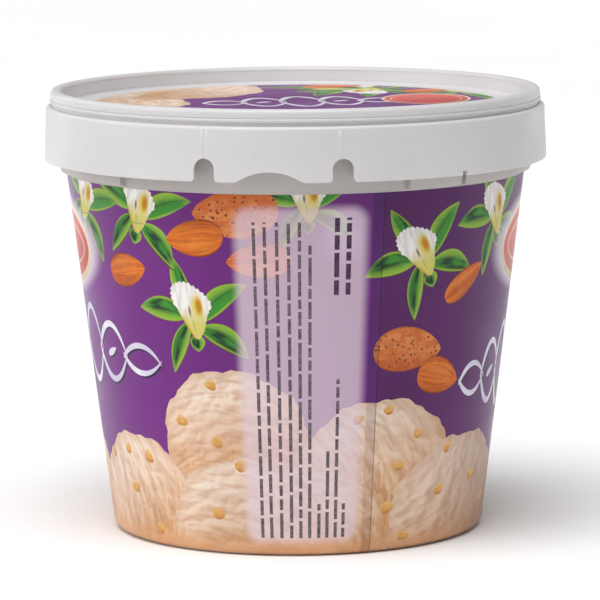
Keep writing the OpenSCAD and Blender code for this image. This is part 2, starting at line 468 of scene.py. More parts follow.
def shell_colour(g):
    """Pitted shell of an almond."""
    s, v, t, tone = lens_map(g, NUT_ENDS)
    shift = g.times(tone, 5.0)
    grain = g.grain(s, v, (7.0, 4.0), shift, 4.0, 0.6)
    colour = g.fade(grain, 0.35, 0.65, rgb(208, 106, 46), rgb(228, 140, 76))
    colour = g.blend(colour, g.step(v, 0.25, -0.8), 0.6, rgb(186, 80, 24))
    pits = g.cells(g.vector(g.times(s, 15.0), g.times(v, 4.6), shift), 1.0, 0.9)
    pit = g.math("LESS_THAN", pits, g.step(grain, 0.3, 0.7, 0.10, 0.34))
    colour = g.blend(colour, pit, 0.85, rgb(104, 44, 26))
    colour = g.blend(colour, g.step(g.size(t), 0.88, 1.0), 0.6, rgb(150, 66, 34))
    return finished(g, colour)


def lumps(g, u, v, seed, scale):
    """Height of soft lumps drawn out along v, with shallow creases between them."""
    place = g.vector(g.times(u, 2.0), v, seed)
    soft = g.noise(place, scale, 2.0, 0.45)
    fold = g.noise(place, scale * 0.7, 1.0, 0.5)
    crease = g.step(g.size(g.minus(fold, 0.5)), 0.0, 0.06, -0.08, 0.0)
    return g.plus(soft, crease)


def scoop_colour(g):
    """A ball of ice cream, with painted light at the wall's foot and painted shade on the right; its
    art map runs from minus one to one across the ball.
    """
    x, y = g.uv(ART_UV)
    turn, seed = g.uv(TRAIT_UV)
    cosine, sine = g.math("COSINE", turn), g.math("SINE", turn)
    u = g.plus(g.times(x, cosine), g.times(y, sine))
    v = g.minus(g.times(y, cosine), g.times(x, sine))
    u = g.plus(u, g.times(g.times(v, v), 0.35))
    here = lumps(g, u, v, seed, 3.4)
    beside = lumps(g, g.plus(u, 0.04), g.plus(v, 0.05), seed, 3.4)
    slope = g.minus(here, beside)
    fall = g.plus(g.times(y, -0.75), g.times(x, 0.25))
    colour = g.fade(fall, -0.8, 0.45, rgb(240, 216, 196), rgb(212, 156, 102))
    bright = g.fade(fall, -0.8, 0.6, rgb(250, 234, 218), rgb(226, 178, 126))
    dark = g.fade(fall, -0.8, 0.6, rgb(212, 172, 142), rgb(178, 118, 68))
    colour = g.blend(colour, g.step(slope, 0.0, 0.12), 0.75, bright)
    colour = g.blend(colour, g.step(slope, -0.01, -0.14), 0.5, dark)
    colour = g.blend(colour, g.step(here, 0.42, 0.22), 0.5, dark)
    blush = g.noise(g.vector(x, y, seed), 2.0, 2.0)
    colour = g.blend(colour, g.step(blush, 0.45, 0.7), 0.35, rgb(240, 200, 178))
    colour = g.blend(colour, g.step(g.reach(x, y), 0.82, 1.0), 0.35, rgb(206, 158, 112))
    # painted light: paler peach at the foot of the wall, lit from below; the lid's labels, mapped far
    # off, are left out
    u_label, foot = g.uv(LABEL_UV)
    foot = g.times(g.step(foot, 0.07, 0.01, 0.0, 0.85), g.math("GREATER_THAN", foot, -1.0))
    colour = g.mix(foot, colour, rgb(228, 170, 124))
    # painted shade: scoops darker round the right side, past the seam, away from the light
    painted_right_shade = g.times(g.step(u_label, 0.22, 0.85), g.step(u_label, 1.5, 1.0))
    colour = g.blend(colour, painted_right_shade, 0.65, rgb(160, 122, 104))
    return finished(g, colour)


def nut_bit_colour(g):
    """Pale brown, lighter above and darker below."""
    _, v = g.uv(ART_UV)
    grain = g.noise(g.place(), 900.0, 2.0)
    colour = g.fade(grain, 0.35, 0.65, rgb(222, 160, 84), rgb(232, 178, 104))
    colour = g.blend(colour, g.step(v, 0.2, 0.9), 0.5, rgb(240, 204, 140))
    colour = g.blend(colour, g.step(v, 0.0, -0.9), 0.7, rgb(190, 122, 52))
    return finished(g, colour)


def seal_colour(g):
    """Red, darker towards one side."""
    x, y = g.uv(ART_UV)
    fall = g.step(g.minus(g.times(x, 0.4), y), -1.0, 1.0)
    colour = g.mix(fall, rgb(222, 96, 88), rgb(186, 44, 52))
    mottle = g.noise(g.place(), 120.0, 3.0)
    return g.blend(colour, g.step(mottle, 0.45, 0.7), 0.15, rgb(232, 128, 110))


def rim_ink_colour(g):
    """Cream, darker below."""
    _, y = g.uv(ART_UV)
    colour = g.fade(y, -1.0, 1.0, rgb(206, 176, 118), rgb(240, 228, 206))
    grain = g.noise(g.place(), 300.0, 2.0)
    return g.blend(colour, g.step(grain, 0.4, 0.7), 0.2, rgb(246, 240, 230))


def ink(name, colour):
    """A printed material, from the function that works out its colour."""
    material, g, shader = new_material(name)
    gloss(g, shader, colour(g))
    return material


def plain_ink(name, scale, edges, dark, light):
    """An ink of one colour that varies a little from place to place."""
    def colour(g):
        cloud = g.noise(g.place(), scale, 2.0)
        return g.fade(cloud, *edges, dark, light)
    return ink(name, colour)


def plastic_material(name, light, dark, roughness):
    """Moulded white plastic: faint flow marks, fine texture and a few rub marks."""
    material, g, shader = new_material(name)
    place = g.place()
    flow = g.noise(place, 24.0, 3.0)
    colour = g.fade(flow, 0.3, 0.7, dark, light)
    speck = g.noise(place, 420.0, 2.0)
    colour = g.blend(colour, g.step(speck, 0.68, 0.76), 0.12, rgb(176, 172, 168))
    g.put(shader.inputs["Base Color"], colour)
    rub = g.noise(place, 85.0, 4.0)
    g.put(shader.inputs["Roughness"], g.step(rub, 0.3, 0.7, roughness - 0.05, roughness + 0.07))
    grain = g.noise(place, 1500.0, 2.0)
    sink = g.noise(place, 45.0, 2.0)
    height = g.plus(g.times(grain, 0.08), sink)
    g.put(shader.inputs["Normal"], g.bump(height, 0.16, 0.0007))
    preset(shader, {"Subsurface Weight": 0.12, "Subsurface Scale": 1.0,
                    "Subsurface Radius": (0.004, 0.0038, 0.0035)})
    return material


# -------- printed shapes

ART_UNIT = 10.0               # millimetres to one unit of an art map with no size of its own
LONGEST_SIDE = 2.0            # of an outline, so that it follows the round wall


class Shape:
    """An outline on a flat film, the piece it belongs to, and how its art map lies."""

    def __init__(self, piece, outline, centre, size=(ART_UNIT, ART_UNIT), turn=0.0, trait=(0.0, 0.0)):
        self.piece = piece
        self.outline = tidy(outline)
        self.centre = centre
        self.size = size
        self.turn = math.radians(turn)
        self.trait = trait

    def art(self, point):
        dx, dy = point[0] - self.centre[0], point[1] - self.centre[1]
        cosine, sine = math.cos(self.turn), math.sin(self.turn)
        return ((dx * cosine + dy * sine) / self.size[0], (dy * cosine - dx * sine) / self.size[1])

    def shifted(self, distance):
        """The same shape further along the film."""
        outline = [(x + distance, y) for x, y in self.outline]
        centre = (self.centre[0] + distance, self.centre[1])
        return Shape(self.piece, outline, centre, self.size, math.degrees(self.turn), self.trait)


def tidy(outline):
    """The outline anticlockwise, with its long sides divided."""
    area = sum(a[0] * b[1] - b[0] * a[1] for a, b in zip(outline, outline[1:] + outline[:1]))
    if area < 0:
        outline = outline[::-1]
    points = []
    for a, b in zip(outline, outline[1:] + outline[:1]):
        parts = max(1, math.ceil(math.dist(a, b) / LONGEST_SIDE))
        for i in range(parts):
            points.append((a[0] + (b[0] - a[0]) * i / parts, a[1] + (b[1] - a[1]) * i / parts))
    return points


def turned(point, degrees):
    """A point turned anticlockwise about the origin."""
    angle = math.radians(degrees)
    cosine, sine = math.cos(angle), math.sin(angle)
    return point[0] * cosine - point[1] * sine, point[0] * sine + point[1] * cosine


def placed(points, origin, degrees=0.0, stretch=1.0):
    """Points turned and moved to origin, widened by stretch along the film."""
    result = []
    for point in points:
        x, y = turned(point, degrees)
        result.append((origin[0] + x * stretch, origin[1] + y))
    return result


def lens(length, half, bend, ends, steps=18):
    """Outline of a leaf or nut along +x, from its base at the origin to its tip."""
    upper, lower = [], []
    for i in range(steps + 1):
        s = (1 - math.cos(math.pi * i / steps)) / 2
        middle = 4 * bend * s * (1 - s)
        width = swell(ends, s)
        upper.append((s * length, (middle + width) * half))
        lower.append((s * length, (middle - width) * half))
    return lower + upper[-2:0:-1]


def lens_shape(piece, origin, degrees, length, half, bend, ends, tone, stretch=1.0):
    """One leaf or nut on the film, from its base at origin."""
    outline = placed(lens(length, half, bend, ends), origin, degrees, stretch)
    return Shape(piece, outline, origin, (length, half), degrees, (bend, tone))


# ----- a blossom: six leaves behind a ruffled trumpet, all from the trumpet's point

LEAVES = (
    # start x, y, direction, length, half width, bend, tone
    (-1.5, 9.0, 108, 13.6, 2.5, 0.2, 0.30),
    (-3.0, 6.2, 174, 14.6, 3.2, -0.4, 0.10),
    (-2.0, 5.0, -112, 15.0, 2.4, -0.3, 0.80),
    (0.0, 1.8, -88, 4.6, 2.2, 0.0, 0.20),
    (1.0, 3.6, -31, 15.2, 3.1, 0.5, 0.40),
    (1.4, 5.4, 38, 16.2, 3.1, 0.5, 0.65),
)
TRUMPET_SIDE = ((-0.6, 0.7), (-2.3, 3.0), (-4.2, 6.2), (-5.2, 8.2))
TRUMPET_RUFFLE = ((-5.8, 8.9), (-6.7, 11.6), (-6.4, 13.9), (-4.6, 15.0), (-2.2, 15.1),
                  (0.4, 13.8), (2.7, 12.1), (4.4, 9.9), (3.8, 8.2), (3.0, 7.3))
TRUMPET_BACK = ((2.9, 5.4), (2.3, 2.9), (0.8, 0.5))
RUFFLE_PITCH = 1.25
RUFFLE_DEPTH = 0.45


def scallops(path, pitch, depth):
    """Points along a path with small round lobes standing out to its left."""
    points = []
    for a, b in zip(path, path[1:]):
        length = math.dist(a, b)
        lobes = max(1, round(length / pitch))
        normal = (-(b[1] - a[1]) / length, (b[0] - a[0]) / length)
        for i in range(lobes * 4):
            part = i / (lobes * 4)
            out = depth * abs(math.sin(math.pi * part * lobes))
            points.append((a[0] + (b[0] - a[0]) * part + normal[0] * out,
                           a[1] + (b[1] - a[1]) * part + normal[1] * out))
    return points


def blossom(origin, turn, size=1.0, stretch=1.0):
    """A trumpet with its point at origin, over its six leaves."""
    shapes = []
    for x, y, direction, length, half, bend, tone in LEAVES:
        start = placed([(x * size, y * size)], origin, turn, stretch)[0]
        shapes.append(lens_shape("print_leaves", start, direction + turn, length * size, half * size,
                                 bend, LEAF_ENDS, tone, stretch))
    outline = list(TRUMPET_SIDE) + scallops(TRUMPET_RUFFLE, RUFFLE_PITCH, RUFFLE_DEPTH)
    outline += list(TRUMPET_BACK)
    outline = [(x * size, y * size) for x, y in outline]
    shapes.append(Shape("print_petals", placed(outline, origin, turn, stretch), origin,
                        (ART_UNIT * size, ART_UNIT * size), turn))
    return shapes


# ----- nuts, scoops, nut bits

def nut(piece, az, z, degrees, length, half, bend, tone):
    """A kernel or shell whose middle lies at az and z."""
    stretch = stretch_at(z)
    back = turned((-length / 2, 0.0), degrees)
    origin = (arc(az) + back[0] * stretch, z + back[1])
    return lens_shape(piece, origin, degrees, length, half, bend, NUT_ENDS, tone, stretch)


SCOOP_WAVES = (               # waves round a scoop's outline, and their share of its radius
    (9, 0.022), (3, 0.0154), (23, 0.0099), (37, 0.0066),
)
SCOOP_STEPS = 110
SCOOP_SEEDS = (0, 40)         # range of the numbers that set a scoop's lumps
BIT_HALF = (1.2, 1.6)         # ranges of a nut bit's half width and length
BIT_LENGTH = (3.0, 4.0)
BIT_STEPS = 18
BIT_DENT = 0.10               # how far its outline leaves an oval


def ball(origin, radius, rng, stretch=1.0):
    """Outline of a scoop: a circle with soft lobes and a finely broken edge."""
    phases = [rng.uniform(0, 2 * math.pi) for _ in SCOOP_WAVES]
    points = []
    for i in range(SCOOP_STEPS):
        a = 2 * math.pi * i / SCOOP_STEPS
        r = 1 + sum(rough * math.sin(lobes * a + phase)
                    for (lobes, rough), phase in zip(SCOOP_WAVES, phases))
        points.append((origin[0] + radius * stretch * r * math.cos(a),
                       origin[1] + radius * r * math.sin(a)))
    return points


def scoop(az, z, radius, turn, rng):
    """A ball of ice cream whose middle lies at az and z."""
    stretch = stretch_at(max(z, WALL_Z0))
    origin = (arc(az), z)
    outline = ball(origin, radius, rng, stretch)
    trait = (math.radians(turn), rng.uniform(*SCOOP_SEEDS))
    return Shape("print_scoops", outline, origin, (radius * stretch, radius), 0.0, trait)


def nut_bit(az, z, rng):
    """A small chip of nut whose middle lies at az and z."""
    half, length = rng.uniform(*BIT_HALF), rng.uniform(*BIT_LENGTH)
    degrees = rng.uniform(0, 180)
    origin = (arc(az), z)
    phase = rng.uniform(0, 6)
    outline = []
    for i in range(BIT_STEPS):
        a = 2 * math.pi * i / BIT_STEPS
        r = 1 + BIT_DENT * math.sin(3 * a + phase)
        outline.append((length / 2 * r * math.cos(a), half * r * math.sin(a)))
    outline = placed(outline, origin, degrees, stretch_at(z))
    return Shape("print_nut_bits", outline, origin, (length / 2, half))


# ----- seals, flourishes, dashes

SEAL_RINGS = (                # piece and share of the seal's half width, from the outside in
    ("print_seal_rims", 1.0), ("print_seals", 0.93), ("print_seal_rims", 0.80), ("print_seals", 0.775),
)
BRUSH_ENDS = (0.55, 0.8)      # how round a brush stroke's two ends are
BRUSH_FULL = 1.75             # brings its widest place to its full width
SHADOW = (0.6, -0.5)          # how far a flourish's shadow lies from it
DASH_LENGTH = (2.2, 7.6)      # range of the bars in a column
DASH_GAP = 0.8


def oval_outline(origin, size, steps=72):
    """Points round an oval."""
    return [(origin[0] + size[0] * math.cos(2 * math.pi * i / steps),
             origin[1] + size[1] * math.sin(2 * math.pi * i / steps)) for i in range(steps)]


def seal(origin, size, stretch=1.0):
    """A plain oval seal: cream rim, red band, fine cream line and red middle."""
    shapes = []
    for piece, share in SEAL_RINGS:
        extent = (size[0] * stretch * share, size[1] - size[0] * (1 - share))
        shapes.append(Shape(piece, oval_outline(origin, extent), origin, extent))
    return shapes


def brush(points, width, steps=26):
    """Outline of a tapered brush stroke along a smooth curve through four control points."""
    left, right = [], []
    for i in range(steps + 1):
        t = i / steps
        weights = ((1 - t) ** 3, 3 * t * (1 - t) ** 2, 3 * t * t * (1 - t), t ** 3)
        slopes = (-3 * (1 - t) ** 2, 3 * (1 - t) ** 2 - 6 * t * (1 - t), 6 * t * (1 - t) - 3 * t * t,
                  3 * t * t)
        x = sum(w * p[0] for w, p in zip(weights, points))
        y = sum(w * p[1] for w, p in zip(weights, points))
        dx = sum(w * p[0] for w, p in zip(slopes, points))
        dy = sum(w * p[1] for w, p in zip(slopes, points))
        length = math.hypot(dx, dy)
        half = width / 2 * BRUSH_FULL * t ** BRUSH_ENDS[0] * (1 - t) ** BRUSH_ENDS[1]
        left.append((x - dy / length * half, y + dx / length * half))
        right.append((x + dy / length * half, y - dx / length * half))
    return right + left[-2:0:-1]


def chain(reach, sway, links, width):
    """Brush strokes of two waves that cross each other, with a drop in every second link."""
    step = 2 * reach / links
    strokes = []
    for i in range(links):
        x = -reach + i * step
        size = math.cos(0.9 * (i + 0.5 - links / 2) / links * math.pi)
        for side in (1, -1):
            top = side * sway * size * 1.33
            strokes.append((((x - 1.0, -side * 0.9), (x + step * 0.25, top), (x + step * 0.75, top),
                             (x + step + 1.0, -side * 0.9)), width * (0.75 + 0.25 * size)))
        if i % 2:
            middle = x + step / 2
            strokes.append((((middle - 2.2, -1.2), (middle - 0.8, -0.5), (middle + 0.8, 0.5),
                             (middle + 2.2, 1.2)), width))
    return strokes


def flourish(origin, strokes, degrees, stretch=1.0):
    """A plain ornament of brush strokes, each with a dark shadow."""
    shadows, inks = [], []
    for points, width in strokes:
        outline = placed(brush(points, width), origin, degrees, stretch)
        shade = [(x + SHADOW[0], y + SHADOW[1]) for x, y in outline]
        shadows.append(Shape("print_flourish_shadows", shade, origin))
        inks.append(Shape("print_flourishes", outline, origin))
    return shadows + inks


def dashes(piece, az, z0, z1, width, rng):
    """A column of bars of uneven length up the panel."""
    shapes = []
    x = arc(az)
    z = z0
    while z < z1:
        end = min(z + rng.uniform(*DASH_LENGTH), z1)
        half = width / 2 * stretch_at(z)
        outline = [(x - half, z), (x + half, z), (x + half, end), (x - half, end)]
        shapes.append(Shape(piece, outline, (x, z)))
        z = end + DASH_GAP
    return shapes


# -------- the wall's print

BACK_SCOOPS = (               # azimuth, height, radius, ridge direction
    (-18.5, 29.3, 20.0, 82), (24.5, 19.2, 22.0, 10), (101.0, 22.0, 19.0, 60), (-90.0, 12.0, 15.0, 40),
    (118.0, 26.0, 20.0, 75), (160.0, 24.0, 19.5, 8), (-160.0, 22.0, 19.0, 50), (-120.0, 27.0, 20.0, 85),
)
FRONT_SCOOPS = (
    (4.0, 4.0, 20.0, 30), (-54.0, 8.0, 21.4, -8), (-15.3, 5.0, 21.0, 64), (56.0, 4.5, 25.0, -50),
    (104.0, 6.0, 20.5, 20), (139.0, 5.0, 21.5, 58), (179.0, 4.0, 21.0, -20), (-138.0, 5.0, 21.0, 30),
    (-99.0, 6.0, 20.0, -40),
)
BITS = (
    (-24, 45), (-34, 35), (-23, 30), (-16, 24), (-68, 23), (-58, 25), (-48, 24), (-56, 15), (-24, 11),
    (-46, 5), (17, 36), (26, 38), (36, 31), (48, 26), (30, 23), (62, 17), (46, 15), (27, 12), (33, 4),
    (84, 30), (95, 18), (104, 9), (117, 38), (124, 29), (132, 15), (143, 22), (151, 9), (158, 34),
    (168, 27), (176, 14), (-173, 19), (-164, 32), (-156, 12), (-148, 22), (-139, 14), (-126, 38),
    (-118, 27), (-108, 17), (-97, 23), (-92, 10), (-83, 19), (74, 9), (-132, 6), (113, 20),
)
BLOSSOMS = (                  # azimuth and height of the trumpet's point, and its turn
    (-27.0, 56.4, 0), (-44.1, 83.2, -20), (36.3, 72.0, 20), (62.5, 80.2, 10), (-69.0, 84.5, -30),
    (112.0, 70.5, -14), (151.0, 57.0, 2), (134.0, 85.0, -24), (-146.0, 71.0, 20), (-118.0, 83.0, 12),
    (178.0, 84.0, 6),
)
SHELLS = (                    # azimuth, height, direction, length, half width, bend, tone
    (-15.2, 90.6, 184, 23.0, 6.6, 0.1, 0.3), (31.2, 53.2, -2, 20.6, 5.9, 0.1, 0.7),
    (163.0, 90.4, 184, 23.0, 6.6, 0.1, 0.2), (-152.0, 52.0, -2, 20.6, 5.9, 0.1, 0.9),
)
KERNELS = (
    (-26.2, 83.5, 186, 16.4, 4.9, 0.05, 0.2), (-48.9, 73.5, 8, 14.2, 4.5, 0.0, 0.5),
    (-9.4, 78.0, 184, 17.0, 4.7, 0.0, 0.8), (48.8, 69.8, 32, 16.0, 3.4, 0.0, 0.3),
    (42.0, 45.3, -12, 14.6, 5.0, 0.1, 0.6), (172.0, 73.0, 186, 16.4, 4.9, 0.05, 0.4),
    (128.0, 66.0, 8, 14.2, 4.5, 0.0, 0.1), (-133.0, 62.0, 32, 16.0, 3.6, 0.0, 0.9),
    (-141.0, 44.6, -12, 14.6, 5.0, 0.1, 0.7), (-166.0, 66.0, 150, 14.0, 4.6, 0.0, 0.3),
)
DASH_COLUMNS = (              # azimuth, from and to height
    (-10.5, 5, 88), (-7.8, 5, 88), (-4.8, 5, 88), (-1.9, 5, 88), (0.8, 5, 88), (3.4, 5, 82),
    (6.1, 5, 14), (8.5, 5, 28), (11.0, 5, 47), (13.3, 5, 14),
)
BOLD_COLUMNS = ((10.1, 69, 89), (13.1, 69, 89))
DASH_WIDTH = 0.85
BOLD_WIDTH = 1.3
PANEL_BLOSSOM = (2.9, 87.4, -4, 0.85)   # the small one behind the panel, with its size last
PANEL_BLOSSOM_FIT = 88        # heights whose stretch it and the chains take
CHAIN_FIT = 48
CHAINS = (                    # azimuth, height and direction, then what chain() takes
    (-88, 52, -3.0, (46, 11.0, 7, 2.6)), (91, 45, 3.0, (38, 12.0, 7, 2.6)),
)
WALL_SEED = 7


def wall_shapes():
    """Everything printed on the wall, from the lowest layer to the topmost."""
    rng = random.Random(WALL_SEED)
    border = [(-TURN / 2, WALL_Z0), (TURN / 2, WALL_Z0), (TURN / 2, WALL_Z1), (-TURN / 2, WALL_Z1)]
    shapes = [Shape("print_field", border, (0.0, 0.0))]
    for az, z, turn in BLOSSOMS:
        shapes += blossom((arc(az), z), turn, 1.0, stretch_at(z))
    az, z, turn, size = PANEL_BLOSSOM
    shapes += blossom((arc(az), z), turn, size, stretch_at(PANEL_BLOSSOM_FIT))
    shapes += [nut("print_shells", *row) for row in SHELLS]
    shapes += [nut("print_kernels", *row) for row in KERNELS]
    shapes += [scoop(*row, rng) for row in BACK_SCOOPS + FRONT_SCOOPS]
    shapes += [nut_bit(*row, rng) for row in BITS]
    for az, z, degrees, form in CHAINS:
        shapes += flourish((arc(az), z), chain(*form), degrees, stretch_at(CHAIN_FIT))
    for az in (-SEAL_AZ, SEAL_AZ):
        shapes += seal((arc(az), SEAL_Z), SEAL_SIZE, stretch_at(SEAL_Z))
    for az, z0, z1 in DASH_COLUMNS:
        shapes += dashes("print_dashes", az, z0, z1, DASH_WIDTH, rng)
    for az, z0, z1 in BOLD_COLUMNS:
        shapes += dashes("print_bold_dashes", az, z0, z1, BOLD_WIDTH, rng)
    return wrapped(shapes)


def wrapped(shapes):
    """Adds a copy on the far side of each shape that crosses the film's back."""
    result = []
    for shape in shapes:
        result.append(shape)
        if shape.piece == "print_field":
            continue
        low = min(x for x, _ in shape.outline)
        high = max(x for x, _ in shape.outline)
        if low < -TURN / 2:
            result.append(shape.shifted(TURN))
        if high > TURN / 2:
            result.append(shape.shifted(-TURN))
    return result


def wall_grid():
    """Loose points that keep the film's mesh round."""
    columns = round(360 / GRID_AZ)
    rows = round((WALL_Z1 - CORNER_Z) / GRID_Z)
    heights = [CORNER_Z + (WALL_Z1 - CORNER_Z) * j / rows for j in range(rows + 1)] + corner_heights()
    azimuths = [-180 + 360 * i / columns for i in range(columns + 1)]
    azimuths += [LAP_AZ[0], LAP_AZ[0] + LAP_RAMP, LAP_AZ[1] - LAP_EDGE, LAP_AZ[1]]
    return [(arc(az), z) for az in azimuths for z in heights]


def corner_heights(steps=6):
    """Heights up the rounded corner, from the film's lower edge, evenly round it."""
    low = wall_lean(WALL_Z0)
    return [CORNER * (1 - math.sin(low + (DRAFT - low) * i / steps)) for i in range(steps)]


def on_wall(point):
    """Place and outward direction on the tub's wall of a point of the flat film."""
    angle = point[0] / MID_R
    az = math.degrees(angle)
    lap = min(max((az - LAP_AZ[0]) / LAP_RAMP, 0.0), 1.0)
    if az >= LAP_AZ[1] - LAP_EDGE / 2:
        lap = 0.0
    radius = wall_radius(point[1]) + LAP_RISE * lap
    sine, cosine = math.sin(angle), math.cos(angle)
    place = Vector((radius * sine, -radius * cosine, point[1])) * MM
    lean = wall_lean(point[1])
    normal = Vector((math.cos(lean) * sine, -math.cos(lean) * cosine, -math.sin(lean)))
    return place, normal


def wall_map(point):
    """The label map on the wall: azimuth and height, each over a hundred."""
    return math.degrees(point[0] / MID_R) / 100, point[1] / 100


# -------- the lid's print

LID_BLOSSOMS = (              # x, y, turn, size
    (40, 34, -112, 1.35), (4, 40, -70, 1.3), (22, 44, 160, 1.2), (16, -40, -130, 1.3),
)
LID_KERNELS = (               # x, y, direction, length, half width, bend, tone
    (2, 47, 10, 17, 5.2, 0.1, 0.3), (30, 30, 30, 15, 5.0, 0.1, 0.4),
    (46, -22, 110, 16, 4.8, 0.0, 0.8), (0, -46, -20, 16, 5, 0.1, 0.5),
)
LID_SCOOPS = (                # x, y, radius, ridge direction
    (-52, 2, 24, 80), (-34, 38, 25, 20), (-36, -36, 26, -40), (-58, -24, 20, 10), (-60, 28, 19, 0),
)
LID_BITS = (
    (-40, 10), (-50, -6), (-36, 44), (-24, 34), (-44, 30), (-34, -28), (-26, -42), (-48, -30),
    (-42, -2), (-30, -18),
)
LID_BIT_FIT = 50.0            # height on the wall whose bits are as wide as the lid's
LID_CHAIN = ((2, 4), (26, 14.0, 5, 3.2), 8.0)   # place, what chain() takes, direction
LID_SEAL = ((35, 10), (12, 15))     # place and size
LID_SEED = 11


def disc_shapes():
    """Everything printed on the lid's disc, from the lowest layer to the topmost."""
    rng = random.Random(LID_SEED)
    border = oval_outline((0.0, 0.0), (DISC_R, DISC_R), 180)
    shapes = [Shape("print_field", border, (0.0, 0.0))]
    for x, y, turn, size in LID_BLOSSOMS:
        shapes += blossom((x, y), turn, size)
    for x, y, degrees, length, half, bend, tone in LID_KERNELS:
        shapes.append(lens_shape("print_kernels", (x, y), degrees, length, half, bend, NUT_ENDS, tone))
    for x, y, radius, turn in LID_SCOOPS:
        outline = ball((x, y), radius, rng)
        trait = (math.radians(turn), rng.uniform(*SCOOP_SEEDS))
        shapes.append(Shape("print_scoops", outline, (x, y), (-radius, -radius), 90.0, trait))
    for x, y in LID_BITS:
        bit = nut_bit(0.0, LID_BIT_FIT, rng)
        outline = [(px + x, py - LID_BIT_FIT + y) for px, py in bit.outline]
        shapes.append(Shape("print_nut_bits", outline, (x, y), bit.size))
    origin, form, degrees = LID_CHAIN
    shapes += flourish(origin, chain(*form), degrees)
    shapes += seal(*LID_SEAL)
    for shape in shapes:
        shape.piece = "lid_" + shape.piece
    return shapes


def on_disc(point):
    """Place and outward direction on the lid's disc of a point of the flat film."""
    return Vector((point[0], point[1], DISC_Z)) * MM, Vector((0.0, 0.0, 1.0))


def off_label(point):
    """One place far below the wall, which keeps its panel, seam and glow off the lid."""
    return 0.0, -5.0


# -------- from shapes to pieces

def divide(shapes, loose):
    """Triangles of the film, each owned by the shape that lies on top there."""
    points, faces = [], []
    for shape in shapes:
        start = len(points)
        points += [Vector(p) for p in shape.outline]
        faces.append(list(range(start, len(points))))
    points += [Vector(p) for p in loose]
    spots, _, triangles, _, _, owners = delaunay_2d_cdt(points, [], faces, 0, MESH_GAP, True)
    owned = {}
    for triangle, over in zip(triangles, owners):
        if over and 0 in over:
            shape = shapes[max(over)]
            owned.setdefault(shape.piece, []).append((triangle, shape))
    return spots, owned


def linked(name, mesh, material):
    """The mesh with its material, as an object in the scene."""
    mesh.materials.append(material)
    piece = bpy.data.objects.new(name, mesh)
    bpy.context.scene.collection.objects.link(piece)
    return piece


def sheet(name, spots, triangles, place, label_map, material):
    """One printed piece on its surface, with its three maps."""
    index, coords, normals, faces = {}, [], [], []
    for triangle, _ in triangles:
        face = []
        for spot in triangle:
            if spot not in index:
                index[spot] = len(coords)
                point, normal = place(spots[spot])
                coords.append(point)
                normals.append(normal)
            face.append(index[spot])
        faces.append(face)
    mesh = bpy.data.meshes.new(name)
    mesh.from_pydata(coords, [], faces)
    maps = {key: mesh.uv_layers.new(name=key) for key in (LABEL_UV, ART_UV, TRAIT_UV)}
    corner = 0
    for triangle, shape in triangles:
        for spot in triangle:
            point = spots[spot]
            maps[LABEL_UV].data[corner].uv = label_map(point)
            maps[ART_UV].data[corner].uv = shape.art(point)
            maps[TRAIT_UV].data[corner].uv = shape.trait
            corner += 1
    mesh.polygons.foreach_set("use_smooth", [True] * len(faces))
    mesh.normals_split_custom_set_from_vertices(normals)
    return linked(name, mesh, material)


LATHE_STEPS = 240
HUB_R = 0.5                   # hole in the lid's backing film, hidden under the ink


def lathe(name, profile, material):
    """A closed ring turned from a closed profile of radius and height."""
    coords, faces = [], []
    count = len(profile)
    for i in range(LATHE_STEPS):
        angle = 2 * math.pi * i / LATHE_STEPS
        for radius, z in profile:
            coords.append(Vector((radius * math.sin(angle), -radius * math.cos(angle), z)) * MM)
    for i in range(LATHE_STEPS):
        here, there = i * count, (i + 1) % LATHE_STEPS * count
        for j in range(count):
            k = (j + 1) % count
            faces.append((here + j, there + j, there + k, here + k))
    mesh = bpy.data.meshes.new(name)
    mesh.from_pydata(coords, [], faces)
    return linked(name, mesh, material)


def film_side(inset):
    """Profile of the wall's film, this far in from its face."""
    side = [(wall_radius(z) - inset * math.cos(wall_lean(z)), z + inset * math.sin(wall_lean(z)))
            for z in corner_heights() + [CORNER_Z]]
    return side + [(wall_radius(WALL_Z1) - inset, WALL_Z1)]


def wall_film(material):
    """The pale backing under the wall's ink."""
    return lathe("wall_film", film_side(INK_GAP) + film_side(FILM)[::-1], material)


def disc_film(material):
    """The pale backing under the lid's ink, with a pinhole in its middle."""
    low, high = DISC_Z - FILM, DISC_Z - INK_GAP
    profile = [(DISC_R, low), (DISC_R, high), (HUB_R, high), (HUB_R, low)]
    return lathe("lid_film", profile, material)


INKS = {                      # each piece's material, and the function that gives its colour
    "print_field": ("ink_field", field_colour),
    "print_leaves": ("ink_leaf", leaf_colour),
    "print_petals": ("ink_petal", petal_colour),
    "print_kernels": ("ink_kernel", kernel_colour),
    "print_shells": ("ink_shell", shell_colour),
    "print_scoops": ("ink_scoop", scoop_colour),
    "print_nut_bits": ("ink_nut_bit", nut_bit_colour),
    "print_seals": ("ink_seal", seal_colour),
    "print_seal_rims": ("ink_seal_rim", rim_ink_colour),
}
PLAIN_INKS = {                # each piece's material, and its noise's scale, edges and two colours
    "print_dashes": ("ink_dash", 1400.0, (0.35, 0.65), rgb(84, 70, 78), rgb(120, 104, 112)),
    "print_bold_dashes": ("ink_bold_dash", 1400.0, (0.35, 0.65), rgb(56, 34, 58), rgb(84, 56, 86)),
    "print_flourishes": ("ink_flourish", 90.0, (0.3, 0.7), rgb(206, 200, 220), rgb(236, 232, 242)),
    "print_flourish_shadows": ("ink_flourish_shadow", 90.0, (0.3, 0.7), rgb(48, 26, 66),
                               rgb(70, 40, 92)),
}
FILM_INK = ("film_back", 70.0, (0.3, 0.7), rgb(214, 210, 214), rgb(228, 224, 228))


def ink_materials():
    """Every ink's material, by the piece that wears it."""
    inks = {piece: ink(*row) for piece, row in INKS.items()}
    inks.update({piece: plain_ink(*row) for piece, row in PLAIN_INKS.items()})
    return inks


def stand_in(piece, node):
    """Puts a piece on the body in the place of a CAD node."""
    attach(piece, "root")
    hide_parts(node)


